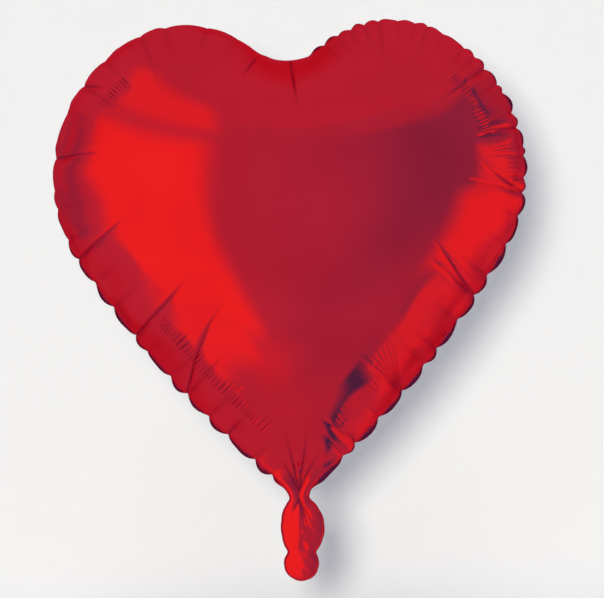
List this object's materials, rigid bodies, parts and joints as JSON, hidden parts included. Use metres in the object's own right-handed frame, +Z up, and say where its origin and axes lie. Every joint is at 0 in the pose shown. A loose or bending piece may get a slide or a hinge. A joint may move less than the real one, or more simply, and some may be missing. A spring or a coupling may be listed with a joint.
{
  "type": "foil balloon",
  "caption": "Inflated heart-shaped party balloon of welded metallised film, with a flat seam flange, a gathered neck, a valve inside it and a limp filling tail below.",
  "frame": {"origin": "middle of the gathered neck, where the balloon is held or tied", "axes": "+Z up from the neck through the notch between the lobes, +Y out of the back, +X to the right as seen from the front, which faces -Y"},
  "size_m": [0.392, 0.18, 0.4635],
  "materials": {
    "red_foil": "mirror-like metallised plastic film, tinted red",
    "clear_film": "soft translucent polyethylene film"
  },
  "bodies": {
    "balloon": {"front_panel": "red_foil", "back_panel": "red_foil", "valve_front_ply": "clear_film", "valve_back_ply": "clear_film"},
    "tail": {"tail_front": "red_foil", "tail_back": "red_foil"}
  },
  "joints": [
    {"name": "tail_swing", "type": "hinge", "parent": "balloon", "child": "tail", "pos_m": [0, 0, 0], "axis": [1, 0, 0], "range_deg": [-70, 70], "deforming": ["valve_front_ply", "valve_back_ply"]}
  ]
}
